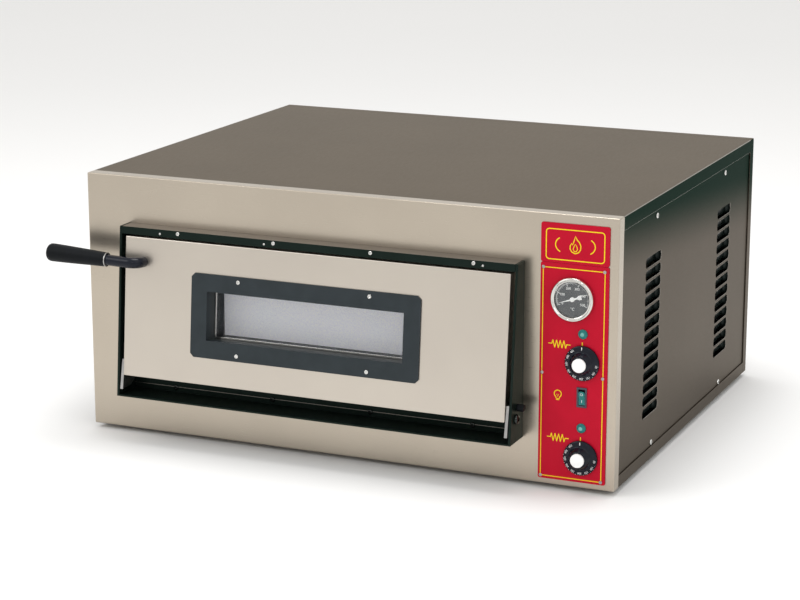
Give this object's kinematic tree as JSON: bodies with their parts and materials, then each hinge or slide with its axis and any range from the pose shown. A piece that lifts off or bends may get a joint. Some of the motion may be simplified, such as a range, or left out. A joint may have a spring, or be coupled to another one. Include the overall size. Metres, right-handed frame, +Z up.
{
  "type": "countertop pizza oven",
  "caption": "Electric countertop pizza oven: low wide sheet metal casing, drop-down door with a window and side handle, column of knobs and a thermometer.",
  "frame": {"origin": "bottom centre of the bounding box, on the surface that the feet stand on", "axes": "+X to the right of a person who faces the door, +Y from the door to the back, +Z up"},
  "size_m": [0.9418, 0.8242, 0.428],
  "materials": {
    "satin_stainless": "satin",
    "door_stainless": "satin",
    "casing_steel": "satin",
    "surround_black": "gloss",
    "bezel_grey": "satin",
    "chamber_steel": "dull",
    "bare_steel": "satin",
    "chrome": "polished",
    "element_sheath": "dull",
    "red_enamel": "satin",
    "black_plastic": "textured",
    "teal_lens": "gloss",
    "rubber": "matt",
    "hearth_stone": "rough",
    "mineral_wool": "fibrous",
    "glass": "clear",
    "porcelain": "satin",
    "white_print": "matt",
    "yellow_print": "satin"
  },
  "bodies": {
    "casing": {"front_panel": "satin_stainless", "top_cover": "casing_steel", "left_side_panel": "casing_steel", "right_side_panel": "casing_steel", "back_panel": "casing_steel", "base_tray": "casing_steel", "surround_hood": "surround_black", "surround_sill": "surround_black", "surround_left_cheek": "surround_black", "surround_right_cheek": "surround_black", "chamber_roof": "chamber_steel", "chamber_floor": "chamber_steel", "chamber_left_wall": "chamber_steel", "chamber_right_wall": "chamber_steel", "chamber_back_wall": "chamber_steel", "stone_rail_front": "chamber_steel", "stone_rail_rear": "chamber_steel", "pivot_bolt_left": "bare_steel", "pivot_bolt_right": "bare_steel", "gauge_case": "chrome", "upper_element_front": "element_sheath", "upper_element_rear": "element_sheath", "lower_element_front": "element_sheath", "lower_element_rear": "element_sheath", "control_plate": "red_enamel", "name_badge": "red_enamel", "door_stop_pin": "black_plastic", "switch_housing": "black_plastic", "cable_gland": "black_plastic", "upper_pilot_lamp": "teal_lens", "lower_pilot_lamp": "teal_lens", "foot_front_left": "rubber", "foot_front_right": "rubber", "foot_rear_left": "rubber", "foot_rear_right": "rubber", "hearth_stone_left": "hearth_stone", "hearth_stone_right": "hearth_stone", "insulation_top": "mineral_wool", "insulation_bottom": "mineral_wool", "insulation_wrap": "mineral_wool", "door_seal": "mineral_wool", "gauge_glass": "glass", "chamber_lamp": "porcelain", "upper_thermostat": "porcelain", "lower_thermostat": "porcelain", "terminal_block": "porcelain"},
    "door": {"door_outer_skin": "door_stainless", "door_inner_skin": "chamber_steel", "door_insulation": "mineral_wool", "window_bezel": "bezel_grey", "outer_glass": "glass", "inner_glass": "glass", "hinge_lug_left": "bare_steel", "hinge_lug_right": "bare_steel", "handle_rod": "surround_black", "handle_grip": "black_plastic"},
    "upper_knob_body": {"upper_knob": "black_plastic"},
    "lower_knob_body": {"lower_knob": "black_plastic"},
    "rocker_body": {"switch_rocker": "teal_lens"},
    "needle_body": {"gauge_needle": "white_print"}
  },
  "joints": [
    {"name": "door_hinge", "type": "hinge", "parent": "casing", "child": "door", "pos_m": [-0.01513, -0.37316, 0.114], "axis": [1, 0, 0], "range_deg": [0, 90]},
    {"name": "upper_knob_turn", "type": "hinge", "parent": "casing", "child": "upper_knob_body", "pos_m": [0.41787, -0.35116, 0.2045], "axis": [0, 1, 0], "range_deg": [0, 300]},
    {"name": "lower_knob_turn", "type": "hinge", "parent": "casing", "child": "lower_knob_body", "pos_m": [0.41787, -0.35116, 0.0565], "axis": [0, 1, 0], "range_deg": [0, 300]},
    {"name": "lamp_switch_rock", "type": "hinge", "parent": "casing", "child": "rocker_body", "pos_m": [0.41787, -0.33766, 0.151], "axis": [-1, 0, 0], "range_deg": [0, 14]},
    {"name": "needle_turn", "type": "hinge", "parent": "casing", "child": "needle_body", "pos_m": [0.40087, -0.34616, 0.301], "axis": [0, 1, 0], "range_deg": [-7, 223], "stiffness_Nm_per_rad": 0.001}
  ]
}
